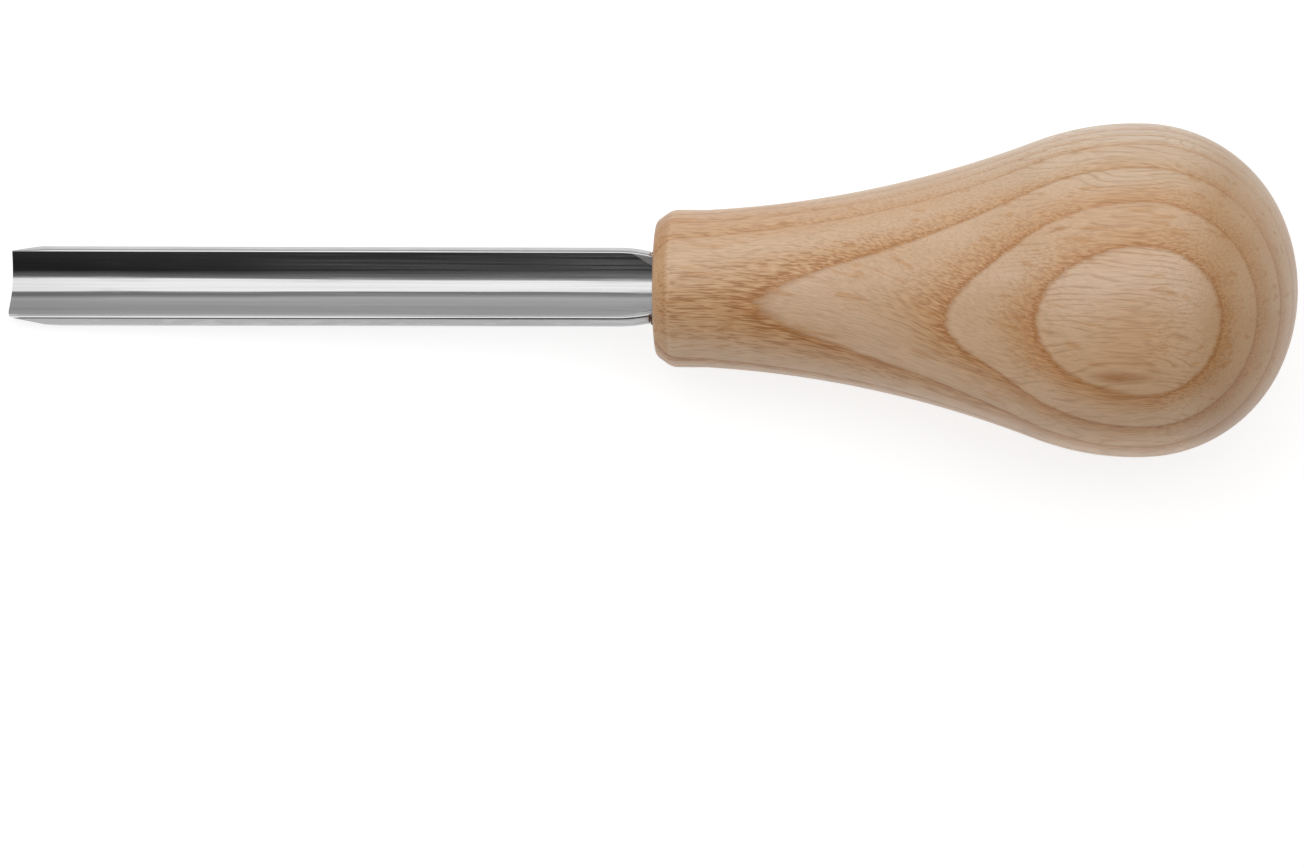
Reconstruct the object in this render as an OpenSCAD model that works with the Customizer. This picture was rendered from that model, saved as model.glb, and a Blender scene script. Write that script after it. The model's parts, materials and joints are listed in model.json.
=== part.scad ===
// Palm gouge: a fluted steel blade, glued by its tang into a turned ash handle.
// It lies on a bench with the flute facing up, the blade towards -X and the palm bulb towards +X.
// Lengths are in millimetres and angles in degrees.

/* [Handle] */
// Length of the handle, front face to crown
handle_len = 80; // [70:0.5:95]
// Diameter of the parallel land at the neck
neck_d = 19.6; // [17:0.1:24]
// Distance from the front face to the end of the land
land_end = 6.5; // [4:0.1:10]
// Length of the chamfer between the front face and the neck
face_chamfer_len = 2.2; // [1:0.1:3]
// Depth of the chamfer between the front face and the neck
face_chamfer_in = 1.8; // [0.5:0.1:2.5]
// Radius of the hollow flare between the land and the bulb
flare_r = 135; // [100:1:200]
// Largest diameter of the bulb
bulb_d = 41.5; // [36:0.1:48]
// Distance from the widest place of the bulb to the crown
bulb_back = 20.2; // [16:0.1:24]
// Radius of the bulb along the handle
bulb_r = 35.4; // [25:0.1:45]
// How far the curve of the bulb runs on behind its widest place
bulb_run = 1.7; // [0:0.1:4]
// Angle from the axis at which the rounded rear of the bulb hands over to the crown
crown_angle = 24; // [15:0.5:35]

/* [Blade] */
// Length of blade that stands out of the handle
blade_len = 80; // [60:0.5:100]
// Width of the cut, which is the mouth of the flute
flute_w = 7.9; // [5:0.1:10]
// Radius of the flute, which sets the sweep
flute_r = 6; // [5.5:0.1:9]
// Thickness of steel under the middle of the flute
web = 2.6; // [2:0.1:3.2]
// Width of the flat land on each rim of the flute
rim_land = 0.2; // [0.1:0.05:0.4]
// Width of the sloping shoulder outside each rim
shoulder_w = 0.75; // [0.3:0.05:1.2]
// Height of the sloping shoulder below each rim
shoulder_h = 1.3; // [0.6:0.1:1.7]
// Height of the rims above the axis of the handle
rim_rise = 2; // [1.6:0.1:2.4]
// Angle between the bevel and the flute
bevel_angle = 20; // [15:0.5:30]
// Thickness left at the cutting edge
edge_t = 0.05; // [0.02:0.01:0.1]
// Slant of the cutting edge from square, with its corner on the -Y side leading
edge_skew = 2.5; // [0:0.1:4]

/* [Heel of the blade] */
// Length over which the sides are eased in ahead of the handle
heel_len = 5.3; // [3:0.1:8]
// How far each side is eased in at the handle
heel_inset = 0.4; // [0.2:0.05:0.6]
// Length over which the rims roll down ahead of the handle
rim_roll_len = 3; // [2:0.1:4]
// How far the rims have rolled down at the handle
rim_roll_drop = 0.84; // [0.4:0.02:1]
// Length of the relief ground off each rear corner
relief_len = 0.6; // [0.4:0.05:0.9]
// Depth of the relief ground off each rear corner
relief_in = 0.9; // [0.7:0.05:1.1]

/* [Tang and its glue] */
// Length of the tang inside the handle
tang_len = 42; // [30:0.5:50]
// Width of the tang at the blade
tang_w = 5.6; // [4:0.1:6.2]
// Height of the tang at the blade
tang_h = 4.2; // [3:0.1:5]
// Width of the tang at its tip
tang_tip_w = 3; // [2:0.1:4]
// Height of the tang at its tip
tang_tip_h = 2.4; // [1.5:0.1:3]
// Room for glue between the corners of the tang and the drilled hole
glue_gap = 0.2; // [0.1:0.05:0.5]
// Room for glue between the tip of the tang and the drill point
end_gap = 4; // [1:0.5:8]
// Point angle of the drill
drill_angle = 118; // [90:1:140]
// Size of the chamfer at the mouth of the drilled hole
mouth_chamfer = 0.8; // [0.5:0.1:1]
// How far squeezed-out glue stands in front of the handle
bead_proud = 0.5; // [0.2:0.05:0.8]
// Width of squeezed-out glue on the front face, beyond the mouth of the hole
bead_spread = 0.25; // [0.1:0.05:0.4]
// How far squeezed-out glue stands below the blade
bead_under = 0.35; // [0.2:0.05:0.5]
// How far squeezed-out glue stays below the floor of the flute
bead_drop = 0.2; // [0.1:0.05:0.4]

/* [Hidden] */
$fn = 128;

// Overrun of a cutting shape past what it cuts
over = 1;

// Handle outline, as [distance along the axis, radius]
neck_r = neck_d / 2;
bulb_c = [handle_len - bulb_back, bulb_d / 2 - bulb_r];
// The flare leaves the corner of the land and touches the bulb, so its centre is where two circles cross
land_corner = [land_end, neck_r];
corner_gap = norm(bulb_c - land_corner);
to_bulb = (bulb_c - land_corner) / corner_gap;
cross_along = (pow(flare_r, 2) - pow(flare_r + bulb_r, 2) + pow(corner_gap, 2)) / (2 * corner_gap);
cross_out = sqrt(pow(flare_r, 2) - pow(cross_along, 2));
flare_c = land_corner + cross_along * to_bulb + cross_out * [-to_bulb[1], to_bulb[0]];
flare_end = flare_c + flare_r * (bulb_c - flare_c) / norm(bulb_c - flare_c);
// The rear of the bulb and the crown are two arcs that meet smoothly at crown_angle from the axis
rear_angle = asin(bulb_run / bulb_r);
rear_dir = [sin(rear_angle), cos(rear_angle)];
crown_dir = [cos(crown_angle), sin(crown_angle)];
bulb_end = bulb_c + bulb_r * rear_dir;
rear_span = [handle_len - bulb_end[0], bulb_end[1]];
arcs_det = (rear_dir[1] - crown_dir[1]) * (1 - crown_dir[0]) - crown_dir[1] * (crown_dir[0] - rear_dir[0]);
rear_r = (rear_span[1] * (1 - crown_dir[0]) - rear_span[0] * crown_dir[1]) / arcs_det;
crown_r = (rear_span[1] - rear_r * (rear_dir[1] - crown_dir[1])) / crown_dir[1];
rear_c = bulb_end - rear_r * rear_dir;
crown_c = [handle_len - crown_r, 0];
rear_end = crown_c + crown_r * crown_dir;

// Blade section: the flute and the underside are arcs about one centre above the blade
flute_c = rim_rise + sqrt(pow(flute_r, 2) - pow(flute_w / 2, 2));
under_r = flute_r + web;
blade_bottom = flute_c - under_r;
flute_floor = flute_c - flute_r;
rim_out = flute_w / 2 + rim_land;
blade_w = 2 * (rim_out + shoulder_w);
bevel_len = (under_r - flute_r - edge_t) / tan(bevel_angle);
heel_r = (pow(heel_len, 2) + pow(heel_inset, 2)) / (2 * heel_inset);
rim_roll_r = (pow(rim_roll_len, 2) + pow(rim_roll_drop, 2)) / (2 * rim_roll_drop);

// Drilled hole: it clears the corners and the tip of the tang
socket_r = norm([tang_w, tang_h]) / 2 + glue_gap;
socket_len = tang_len + end_gap;
socket_mouth_r = socket_r + mouth_chamfer;

// Rest on the bench: the line under the tool touches the bulb and the heel of the bevel
bevel_heel = [bevel_len - blade_len, blade_bottom];
bulb_under = [bulb_c[0], -bulb_c[1]];
rest_span = bulb_under - bevel_heel;
rest_tilt = asin(bulb_r / norm(rest_span)) - atan2(rest_span[1], rest_span[0]);
bench_z = -bevel_heel[0] * sin(rest_tilt) - bevel_heel[1] * cos(rest_tilt);
edge_lead = flute_w / 2 * sin(edge_skew);
tip_x = -(blade_len + edge_lead) * cos(rest_tilt) - rim_rise * sin(rest_tilt);
crown_x = crown_c[0] * cos(rest_tilt) + crown_r;
bench_x = -(tip_x + crown_x) / 2;

echo(rest_tilt = rest_tilt, front_face_centre = [bench_x, 0, bench_z]);

// Tips the tool from its own axis, X, onto the bench
module on_bench() {
    translate([bench_x, 0, bench_z]) rotate([0, -rest_tilt, 0]) children();
}

// Turns an outline drawn as [radius, distance along the axis] about the axis of the tool
module turned() {
    rotate([0, 90, 0]) rotate_extrude() children();
}

// Extrudes a section drawn as [Y, Z] along the axis of the tool
module along_axis(from, to) {
    translate([from, 0, 0]) rotate([90, 0, 90]) linear_extrude(to - from) children();
}

// Extrudes a plan drawn as [X, Y] through the height of the blade
module through_height() {
    translate([0, 0, -blade_w]) linear_extrude(2 * blade_w) children();
}

// Extrudes an elevation drawn as [X, Z] through the width of the blade
module through_width() {
    translate([0, blade_w, 0]) rotate([90, 0, 0]) linear_extrude(2 * blade_w) children();
}

// Strip of the handle outline between two distances along the axis
module strip(from, to, radius = bulb_d) {
    translate([0, from]) square([radius, to - from]);
}

// Disc in the handle outline about a point given as [distance along the axis, radius]
module disc(centre, radius) {
    translate([centre[1], centre[0]]) circle(radius);
}

module handle_outline() {
    polygon([[0, 0], [neck_r - face_chamfer_in, 0], [neck_r, face_chamfer_len], [0, face_chamfer_len]]);
    strip(face_chamfer_len, land_end, neck_r);
    difference() {
        strip(land_end, flare_end[0], flare_c[1]);
        disc(flare_c, flare_r);
    }
    intersection() {
        strip(flare_end[0], bulb_end[0]);
        disc(bulb_c, bulb_r);
    }
    intersection() {
        strip(bulb_end[0], rear_end[0]);
        disc(rear_c, rear_r);
    }
    intersection() {
        strip(rear_end[0], handle_len);
        disc(crown_c, crown_r);
    }
}

// The hole drilled for the tang, with its chamfered mouth and drill point
module socket() {
    turned() polygon([
        [0, 0], [socket_mouth_r, 0], [socket_r, mouth_chamfer], [socket_r, socket_len],
        [0, socket_len + socket_r / tan(drill_angle / 2)]
    ]);
}

module handle() {
    color("burlywood") on_bench() difference() {
        turned() handle_outline();
        socket();
    }
}

// Section of the blade before the flute is cut: sloping shoulders over a round underside
module blade_section() {
    half = blade_w / 2;
    intersection() {
        polygon([
            [-rim_out, rim_rise], [-half, rim_rise - shoulder_h], [-half, -blade_w],
            [half, -blade_w], [half, rim_rise - shoulder_h], [rim_out, rim_rise]
        ]);
        translate([0, flute_c]) circle(under_r);
    }
}

// Plan of the blade: its sides are eased in at the heel, and its rear corners are relieved
module blade_plan() {
    half = blade_w / 2;
    corner = half - heel_inset - relief_in;
    reach = blade_len + blade_w;
    difference() {
        union() {
            translate([-reach, -half]) square([reach - heel_len, blade_w]);
            intersection() {
                translate([-heel_len, -half]) square([heel_len, blade_w]);
                translate([-heel_len, half - heel_r]) circle(heel_r);
                translate([-heel_len, heel_r - half]) circle(heel_r);
            }
        }
        for (side = [-1, 1])
            polygon([
                [0, side * corner], [-relief_len, side * (corner + relief_in)],
                [-relief_len, side * blade_w], [over, side * blade_w], [over, side * corner]
            ]);
    }
}

// Elevation of the blade: its rims roll down at the heel
module blade_elevation() {
    reach = blade_len + blade_w;
    translate([-reach, rim_rise - blade_w]) square([reach - rim_roll_len, blade_w]);
    intersection() {
        translate([-rim_roll_len, rim_rise - blade_w]) square([rim_roll_len, blade_w]);
        translate([-rim_roll_len, rim_rise - rim_roll_r]) circle(rim_roll_r);
    }
}

// Room for the blade behind its ground tip: the bevel is a cone about the centre of the flute
module bevel_envelope() {
    edge_r = flute_r + edge_t;
    clear_r = 2 * under_r;
    clear_at = (clear_r - edge_r) / tan(bevel_angle);
    translate([-blade_len, 0, flute_c]) rotate([0, 0, -edge_skew]) turned() polygon([
        [0, 0], [edge_r, 0], [clear_r, clear_at], [clear_r, blade_len + blade_w], [0, blade_len + blade_w]
    ]);
}

// The blade ahead of the handle, without its tang
module blade_body() {
    difference() {
        intersection() {
            along_axis(-blade_len - blade_w, 0) blade_section();
            bevel_envelope();
            through_height() blade_plan();
            through_width() blade_elevation();
        }
        along_axis(-blade_len - 2 * blade_w, over) translate([0, flute_c]) circle(flute_r);
    }
}

// Outline of the tang, which tapers from a root size to a tip size
module tang_taper(root, tip) {
    polygon([[0, -root / 2], [tang_len, -tip / 2], [tang_len, tip / 2], [0, root / 2]]);
}

module tang() {
    intersection() {
        through_height() tang_taper(tang_w, tang_tip_w);
        through_width() tang_taper(tang_h, tang_tip_h);
    }
}

module blade() {
    color("silver") on_bench() union() {
        blade_body();
        tang();
    }
}

// Glue squeezed out round the heel of the blade, below its rims
module glue_bead() {
    bead_r = socket_mouth_r + bead_spread;
    bead_low = blade_bottom - bead_under;
    bead_high = flute_floor - bead_drop;
    difference() {
        intersection() {
            translate([-bead_proud, 0, 0]) rotate([0, 90, 0])
                cylinder(h = bead_proud, r1 = bead_r - bead_spread, r2 = bead_r);
            translate([-bead_proud - over, -bead_r, bead_low])
                cube([bead_proud + over, 2 * bead_r, bead_high - bead_low]);
        }
        blade_body();
    }
}

// Glue that fills the hole round the tang
module tang_glue() {
    color("saddlebrown") on_bench() {
        difference() {
            socket();
            tang();
        }
        glue_bead();
    }
}

handle();
blade();
tang_glue();
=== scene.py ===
"""A palm gouge on a pale bench: a fluted steel blade glued into a turned ash handle."""

import json
import math

import bmesh
import bpy
from bpy.props import FloatProperty, FloatVectorProperty, IntProperty, PointerProperty
from mathutils import Matrix, Vector


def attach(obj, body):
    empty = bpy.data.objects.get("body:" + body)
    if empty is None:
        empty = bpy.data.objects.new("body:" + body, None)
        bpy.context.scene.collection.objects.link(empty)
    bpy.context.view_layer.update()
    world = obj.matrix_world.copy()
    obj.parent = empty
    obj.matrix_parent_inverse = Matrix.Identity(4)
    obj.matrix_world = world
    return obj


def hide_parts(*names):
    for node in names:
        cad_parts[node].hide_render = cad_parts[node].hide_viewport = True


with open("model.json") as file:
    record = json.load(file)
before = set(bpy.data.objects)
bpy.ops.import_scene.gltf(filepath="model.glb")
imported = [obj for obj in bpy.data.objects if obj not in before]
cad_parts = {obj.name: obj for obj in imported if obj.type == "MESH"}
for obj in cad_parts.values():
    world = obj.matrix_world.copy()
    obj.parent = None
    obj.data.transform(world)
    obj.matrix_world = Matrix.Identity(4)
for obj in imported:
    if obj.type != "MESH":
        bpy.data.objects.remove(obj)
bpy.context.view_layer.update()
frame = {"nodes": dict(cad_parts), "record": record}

bl_info = {
    "name": "Palm Gouge",
    "version": (1, 0, 0),
    "blender": (4, 5, 0),
    "location": "View3D > Sidebar > Palm Gouge",
    "description": "Builds a palm gouge with a turned ash handle, a fluted steel blade and its glue",
    "category": "Add Mesh",
}

# Shapes are worked out in millimetres in the tool's own frame: X runs from the cutting edge to the crown,
# Z points out of the flute, and the origin is the centre of the handle's front face.
MM = 0.001
BODY = "root"
# Size of the picture that the camera is set for, in dots
IMAGE = (1304, 868)
# The mount on the neck starts behind this chamfer of the front face
CHAMFER_LENGTH = 2.2
# Corners of a square, in turn
SQUARE = ((-1, -1), (1, -1), (1, 1), (-1, 1))


def tool_frame():
    """The tool's own frame on the bench, from the mount on the neck of the handle, in metres."""
    neck = next(mount for mount in frame["record"]["mounts"] if mount["name"] == "neck")
    along = -Vector(neck["axis"]).normalized()
    across = Vector((0, 1, 0))
    up = along.cross(across)
    mount_middle = CHAMFER_LENGTH + neck["dims"]["length_mm"] / 2
    origin = Vector(neck["pos_m"]) - along * mount_middle * MM
    turn = Matrix((along, across, up)).transposed().to_4x4()
    return Matrix.Translation(origin) @ turn


TOOL = tool_frame()
TOOL_MM = TOOL @ Matrix.Scale(MM, 4)


# Sizes and colours


def number_of(name, value, description, **limits):
    """A plain number as a property."""
    return FloatProperty(name=name, default=value, description=description, **limits)


def pair_of(name, values, description, **limits):
    """Two numbers as a property."""
    return FloatVectorProperty(name=name, default=values, description=description, size=2, **limits)


def length_of(name, value, description):
    """A length in millimetres as a property in metres."""
    return number_of(name, value * MM, description, min=0, precision=5, unit="LENGTH")


def lengths_of(name, values, description):
    """Two lengths in millimetres as a property in metres."""
    return pair_of(name, [value * MM for value in values], description, precision=5, unit="LENGTH")


def angle_of(name, value, description):
    """An angle in degrees as a property in radians."""
    return number_of(name, math.radians(value), description, subtype="ANGLE")


def colour_of(name, value, description):
    """A colour given as it looks on a screen, 0 to 255, as a linear colour property."""
    return FloatVectorProperty(
        name=name, description=description, subtype="COLOR", size=3, min=0, max=1,
        default=[screen_to_linear(channel / 255) for channel in value],
    )


def screen_to_linear(value):
    """One channel of a screen colour as linear light."""
    if value <= 0.04045:
        return value / 12.92
    return ((value + 0.055) / 1.055) ** 2.4


class GougeHandle(bpy.types.PropertyGroup):
    """Sizes and colours of the turned ash handle"""

    length: length_of("Length", 80, "From the front face to the crown")
    neck_width: length_of("Neck Width", 19.6, "Diameter of the straight land behind the front face")
    land_end: length_of("Land End", 6.5, "Where the straight land turns into the flare")
    chamfer_length: length_of("Chamfer Length", CHAMFER_LENGTH, "Length of the chamfer on the front face")
    chamfer_depth: length_of("Chamfer Depth", 1.45, "How far the chamfer cuts into the front face")
    face_dome: length_of("Face Dome", 0.18, "How far the front face falls back towards its chamfer")
    face_softness: length_of("Face Softness", 0.55, "Sanded rounding between face and chamfer")
    land_softness: length_of("Land Softness", 0.75, "Sanded rounding between chamfer and land")
    flare_radius: length_of("Flare Radius", 135, "Radius of the hollow between the neck and the bulb")
    bulb_width: length_of("Bulb Width", 41.5, "Largest diameter of the bulb")
    bulb_back: length_of("Bulb From Crown", 20.2, "Distance from the crown to the widest place")
    bulb_radius: length_of("Bulb Radius", 35.4, "Radius of the bulb's side along the tool")
    bulb_run: length_of("Bulb Run", 1.7, "How far the bulb's side runs on behind the widest place")
    crown_angle: angle_of("Crown Angle", 24, "Angle from the axis at which the crown starts")
    hole_radius: length_of("Hole Radius", 3.7, "Radius of the hole drilled for the tang")
    hole_depth: length_of("Hole Depth", 46, "Depth of the hole before its drill point")
    hole_chamfer: length_of("Hole Chamfer", 0.8, "Chamfer round the mouth of the hole")
    drill_angle: angle_of("Drill Angle", 118, "Angle of the drill point at the end of the hole")
    steps_around: IntProperty(
        name="Steps Around", description="Faces round the handle", default=192, min=24, max=360
    )
    late_colour: colour_of("Late Wood", (213, 184, 156), "Pale dense wood of a growth ring")
    early_colour: colour_of("Early Wood", (192, 142, 94), "Orange porous wood after a ring line")
    line_colour: colour_of("Ring Line", (163, 110, 66), "Brown line where a growth ring starts")
    pore_colour: colour_of("Pores", (160, 112, 70), "Dark dashes where pores are cut open")
    fleck_colour: colour_of("Flecks", (222, 188, 148), "Pale dashes between the pores")


class GougeBlade(bpy.types.PropertyGroup):
    """Sizes and colour of the fluted blade"""

    length: length_of("Length", 80.3, "From the cutting edge to the handle")
    flute_width: length_of("Flute Width", 8.14, "Width of the flute between its rims")
    flute_radius: length_of("Flute Radius", 6, "Radius of the flute")
    web: length_of("Web", 2.27, "Thickness of steel under the flute")
    rim_land: length_of("Rim Land", 0.3, "Width of the flat on each rim")
    rim_rise: length_of("Rim Rise", 2, "Height of the rims above the axis of the handle")
    shoulder_width: length_of("Shoulder Width", 0.58, "Width of the sloping shoulder beside a rim")
    shoulder_drop: length_of("Shoulder Drop", 1.3, "Height of the sloping shoulder beside a rim")
    bevel_angle: angle_of("Bevel Angle", 21.5, "Angle of the bevel under the cutting edge")
    edge_thickness: length_of("Edge Thickness", 0.05, "Thickness left at the cutting edge")
    edge_sweep: length_of("Edge Sweep", 0.38, "How far the low corner of the cutting edge leads")
    edge_wear: length_of("Edge Wear", 0.16, "How far the leading corner is rounded back")
    heel_length: length_of("Heel Length", 4.6, "Length over which the sides ease in at the handle")
    heel_inset: length_of("Heel Inset", 0.58, "How far each side eases in at the handle")
    heel_drop: length_of("Heel Drop", 0.26, "How far the rims fall at the handle")
    heel_shift: length_of("Heel Shift", 0.115, "How far the blade sits to one side at the handle")
    heel_taper: length_of("Heel Taper", 0.035, "How much each side tapers in towards the handle")
    relief_length: length_of("Relief Length", 0.7, "Length of the relieved corners at the handle")
    relief_depth: length_of("Relief Depth", 0.45, "How far the corners are relieved at the handle")
    tang_length: length_of("Tang Length", 42, "Length of the tang inside the handle")
    tang_root: lengths_of("Tang Root", (5.6, 4.2), "Width and height of the tang at the blade")
    tang_tip: lengths_of("Tang Tip", (3, 2.4), "Width and height of the tang at its end")
    steel_colour: colour_of("Steel", (201, 201, 202), "Polished steel")


class GougeGlue(bpy.types.PropertyGroup):
    """Sizes and colour of the glue squeezed out round the blade"""

    bead_radius: length_of("Bead Radius", 0.37, "Thickness of the bead of glue, from its middle")
    bead_set: length_of("Bead Set", 0.26, "How far the middle of the bead stands off the handle")
    bead_out: length_of("Bead Out", 0.02, "How far the bead lies outside the sides of the blade")
    bead_top: length_of("Bead Top", 1.5, "How far the bead climbs above the axis of the handle")
    colour: colour_of("Glue", (104, 80, 60), "Dark dried glue")


class GougeStage(bpy.types.PropertyGroup):
    """Camera, lights and floor"""

    view_tilt: angle_of("View Tilt", 4.3, "Lean of the line of sight towards the crown")
    view_roll: angle_of("View Roll", 8.4, "Lean of the line of sight to one side of the tool")
    view_turn: angle_of("View Turn", 0.245, "Turn of the picture about the line of sight")
    view_distance: number_of("View Distance", 3.0, "From the tool to the camera", unit="LENGTH")
    dots_per_mm: number_of("Dots per mm", 8.036, "Scale of the picture", min=0.1)
    face_in_picture: pair_of(
        "Face in Picture", (655.3, 288.4), "Where the middle of the front face lies in the picture",
        subtype="COORDINATES",
    )
    tent_radius: number_of("Tent Radius", 0.7, "Radius of the light tent", unit="LENGTH")
    tent_length: number_of("Tent Length", 2.4, "Length of the light tent", unit="LENGTH")
    tent_light: number_of("Tent Light", 1.47, "Strength of the brightest strip in the tent")
    end_light: number_of("End Light", 0.22, "Strength of the light that enters at the ends")
    fill_power: number_of("Fill Lamp", 1.2, "Power of the soft lamp overhead", min=0, unit="POWER")


# Outlines

# How finely the curves and the rounded edges are drawn
FLARE_STEPS, BULB_STEPS, REAR_STEPS, CROWN_STEPS = 56, 36, 40, 20
HANDLE_EDGE_STEPS, BLADE_EDGE_STEPS = 4, 7
FLUTE_STEPS = 28
BEVEL_STEPS, BAR_STEPS, HEEL_STEPS, RELIEF_STEPS = 30, 44, 20, 8
# The bevel's sections crowd together towards the cutting edge
BEVEL_CROWDING = 1.4
# A rounded corner takes up at most these shares of the side before it and of the side after it
MOST_BEFORE, MOST_AFTER = 0.7, 0.3
# Rounding of the edges in the tang hole, from its end to its mouth
HOLE_EDGES = (0.2, 0.1, 0.15)
# Rounding of the edges of the blade: inside the rim, and below the shoulder
RIM_EDGE, SIDE_EDGE = 0.02, 0.2
# Rounding outside the rim, before and after a stretch of the blade, in millimetres from the handle
WORN_RIM = (0.15, 0.28)
WORN_STRETCH = (-40, -6)
# Shares of half the flute's width: where the cutting edge starts to sweep forward, how far the sweep runs,
# where its corner is worn, and where the walls of the flute start to bend in at the heel
SWEEP_START, SWEEP_RUN, CORNER_WORN, BEND_START = 0.15, 1.2, 0.82, 0.48
# Behind the bevel the sweep fades, to nothing at this many lengths of the bevel from the cutting edge
SWEEP_END = 3
# Share of the upper rim's land that is left at the cutting edge
GROUND_LAND = 0.3
# The relief at the heel is cut in over this share of its length, and is shallower on the upper side
RELIEF_RAMP, UPPER_RELIEF = 0.4, 0.4
# Waves that hand polishing leaves: height, turn along the blade, turn across it, and start
RIPPLES = ((0.006, 0.23, 0.5, 0), (0.006, 0.091, -0.8, 1.2), (0.003, 0.61, 0.3, 0))
# Steps that find where the bevel cuts a side
HALVINGS = 40


def arc(centre, radius, start, end, steps):
    """Points of an arc about a centre between two angles, both ends included."""
    points = []
    for step in range(steps + 1):
        angle = start + (end - start) * step / steps
        points.append(centre + radius * Vector((math.cos(angle), math.sin(angle))))
    return points


def angle_at(centre, point):
    """The angle of a point seen from a centre."""
    return math.atan2(point.y - centre.y, point.x - centre.x)


def eased(points, radii, steps):
    """An open outline whose inner corners are rounded, each by its own radius."""
    rounded = [points[0]]
    for before, corner, after, radius in zip(points, points[1:], points[2:], radii):
        back, ahead = before - corner, after - corner
        start = corner + back.normalized() * min(radius, back.length * MOST_BEFORE)
        end = corner + ahead.normalized() * min(radius, ahead.length * MOST_AFTER)
        for step in range(steps + 1):
            part = step / steps
            rounded.append(start.lerp(corner, part).lerp(corner.lerp(end, part), part))
    rounded.append(points[-1])
    return rounded


def handle_outline(sizes):
    """Half outline of the handle as (along, out), from the end of the tang hole to the crown."""
    length = sizes.length / MM
    neck = sizes.neck_width / 2 / MM
    flare_r = sizes.flare_radius / MM
    bulb_r = sizes.bulb_radius / MM

    # The flare leaves the end of the land and touches the bulb
    bulb_c = Vector((length - sizes.bulb_back / MM, sizes.bulb_width / 2 / MM - bulb_r))
    land_corner = Vector((sizes.land_end / MM, neck))
    gap = bulb_c - land_corner
    toward = gap.normalized()
    along = (flare_r**2 - (flare_r + bulb_r) ** 2 + gap.length**2) / (2 * gap.length)
    aside = math.sqrt(flare_r**2 - along**2)
    flare_c = land_corner + along * toward + aside * Vector((-toward.y, toward.x))
    flare_end = flare_c + flare_r * (bulb_c - flare_c).normalized()

    # Two arcs behind the bulb's side: the rear of the bulb and the crown, which meet smoothly
    run_angle = math.asin(sizes.bulb_run / MM / bulb_r)
    rear_dir = Vector((math.sin(run_angle), math.cos(run_angle)))
    crown_dir = Vector((math.cos(sizes.crown_angle), math.sin(sizes.crown_angle)))
    bulb_end = bulb_c + bulb_r * rear_dir
    run, rise = length - bulb_end.x, bulb_end.y
    share = (rear_dir.y - crown_dir.y) * (1 - crown_dir.x) - crown_dir.y * (crown_dir.x - rear_dir.x)
    rear_r = (rise * (1 - crown_dir.x) - run * crown_dir.y) / share
    crown_r = (rise - rear_r * (rear_dir.y - crown_dir.y)) / crown_dir.y
    rear_c = bulb_end - rear_r * rear_dir
    crown_c = Vector((length - crown_r, 0))

    hole_r = sizes.hole_radius / MM
    hole_end = sizes.hole_depth / MM
    hole_chamfer = sizes.hole_chamfer / MM
    front = eased(
        [
            Vector((hole_end + hole_r / math.tan(sizes.drill_angle / 2), 0)),
            Vector((hole_end, hole_r)),
            Vector((hole_chamfer, hole_r)),
            Vector((0, hole_r + hole_chamfer)),
            Vector((sizes.face_dome / MM, neck - sizes.chamfer_depth / MM)),
            Vector((sizes.chamfer_length / MM, neck)),
            land_corner,
        ],
        [*HOLE_EDGES, sizes.face_softness / MM, sizes.land_softness / MM],
        HANDLE_EDGE_STEPS,
    )
    flare_start = angle_at(flare_c, land_corner)
    flare = arc(flare_c, flare_r, flare_start, angle_at(flare_c, flare_end), FLARE_STEPS)
    bulb = arc(bulb_c, bulb_r, angle_at(bulb_c, flare_end), angle_at(bulb_c, bulb_end), BULB_STEPS)
    rear = arc(rear_c, rear_r, angle_at(rear_c, bulb_end), sizes.crown_angle, REAR_STEPS)
    crown = arc(crown_c, crown_r, sizes.crown_angle, 0, CROWN_STEPS)
    return front + flare[1:] + bulb[1:] + rear[1:] + crown[1:]


def blade_half_section(sizes, reach, land, worn):
    """Half section of the blade as (across, up), from the flute's floor over the rim to the underside.

    reach is the radius about the flute's centre at which the bevel cuts the section off, land is the width
    of the flat on the rim, and worn is how far its outer edge is rounded.
    """
    flute_r = sizes.flute_radius / MM
    under_r = flute_r + sizes.web / MM
    centre = Vector((0, flute_centre(sizes)))
    outer = min(reach, under_r)

    rim = sizes.flute_width / 2 / MM
    top = sizes.rim_rise / MM
    half = rim + (sizes.rim_land + sizes.shoulder_width) / MM
    corners = [
        Vector((rim, top)),
        Vector((rim + land, top)),
        Vector((half, top - sizes.shoulder_drop / MM)),
        Vector((half, centre.y - math.sqrt(under_r**2 - half**2))),
    ]
    for index in range(1, len(corners)):
        if (corners[index] - centre).length > outer:
            cut = cut_at(corners[index - 1], corners[index], centre, outer)
            corners[index:] = [cut] * (len(corners) - index)
            break

    floor_angle = -math.pi / 2
    flute = arc(centre, flute_r, floor_angle, angle_at(centre, corners[0]), FLUTE_STEPS)
    under = arc(centre, outer, angle_at(centre, corners[-1]), floor_angle, FLUTE_STEPS)
    edges = [RIM_EDGE, worn, SIDE_EDGE, SIDE_EDGE]
    side = eased([flute[-2], *corners, under[1]], edges, BLADE_EDGE_STEPS)
    return flute[:-1] + side[1:-1] + under[1:]


def cut_at(inside, outside, centre, radius):
    """The point between two points at a distance from a centre."""
    near, far = 0.0, 1.0
    for _ in range(HALVINGS):
        middle = (near + far) / 2
        if (inside.lerp(outside, middle) - centre).length < radius:
            near = middle
        else:
            far = middle
    return inside.lerp(outside, near)


def flute_centre(sizes):
    """Height of the flute's centre above the axis of the handle."""
    return (sizes.rim_rise + math.sqrt(sizes.flute_radius**2 - (sizes.flute_width / 2) ** 2)) / MM


def bow(length, drop, along):
    """How far an arc has fallen that starts level and falls by drop over length."""
    if along <= 0:
        return 0.0
    radius = (length**2 + drop**2) / (2 * drop)
    return radius - math.sqrt(radius**2 - along**2)


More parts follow.
